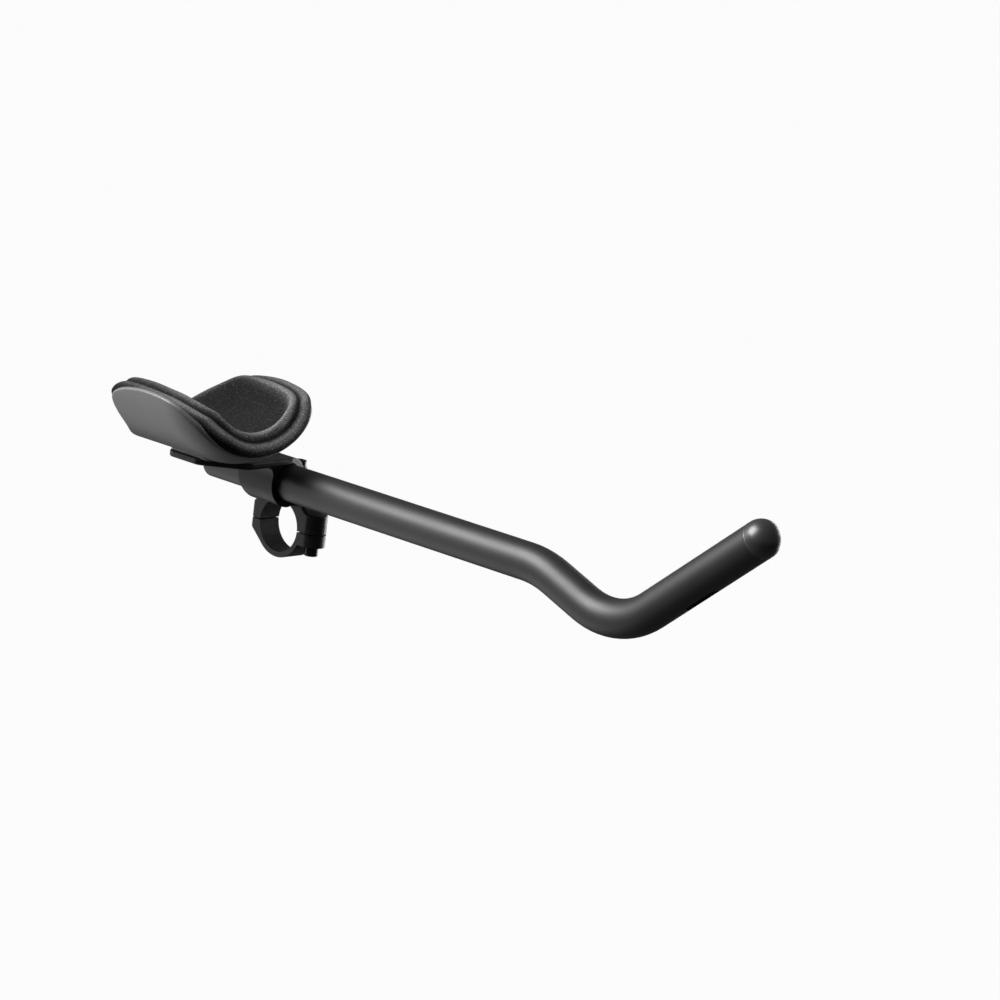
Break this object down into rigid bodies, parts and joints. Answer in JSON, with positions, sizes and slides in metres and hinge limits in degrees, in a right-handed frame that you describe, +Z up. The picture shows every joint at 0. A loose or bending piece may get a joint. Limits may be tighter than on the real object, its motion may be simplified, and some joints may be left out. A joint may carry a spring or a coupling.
{
  "type": "aero handlebar extension",
  "caption": "Bent tube extension held in a clamp bracket on a handlebar, with a padded trough armrest beside it; the tube slides in the bracket to set the reach.",
  "frame": {"origin": "middle of the handlebar clamp's bore", "axes": "+X forward along the extension, +Y to the rider's left along the bore, +Z up"},
  "size_m": [0.4383, 0.1235, 0.1114],
  "materials": {
    "tube": "black anodised, satin",
    "plug": "black moulded plug",
    "casting": "satin black coated alloy casting",
    "bolts": "black oxide steel",
    "shell": "satin black moulding",
    "hook": "black hook tape",
    "loop": "black loop tape",
    "pad": "black fabric over foam"
  },
  "bodies": {
    "bracket": {"clamp_bracket": "casting", "handlebar_cap": "casting", "handlebar_bolt": "bolts", "handlebar_bolt_washer": "bolts", "pinch_bolt": "bolts", "pinch_bolt_washer": "bolts", "armrest_screw_front": "bolts", "armrest_screw_rear": "bolts", "armrest_shell": "shell", "hook_patch_outer": "hook", "hook_patch_middle": "hook", "hook_patch_inner": "hook", "loop_patch_outer": "loop", "loop_patch_middle": "loop", "loop_patch_inner": "loop", "arm_pad": "pad"},
    "extension": {"extension_tube": "tube", "tip_plug": "plug"}
  },
  "joints": [
    {"name": "reach_slide", "type": "slide", "parent": "bracket", "child": "extension", "axis": [1, 0, 0], "range_m": [-0.05, 0.025]}
  ]
}
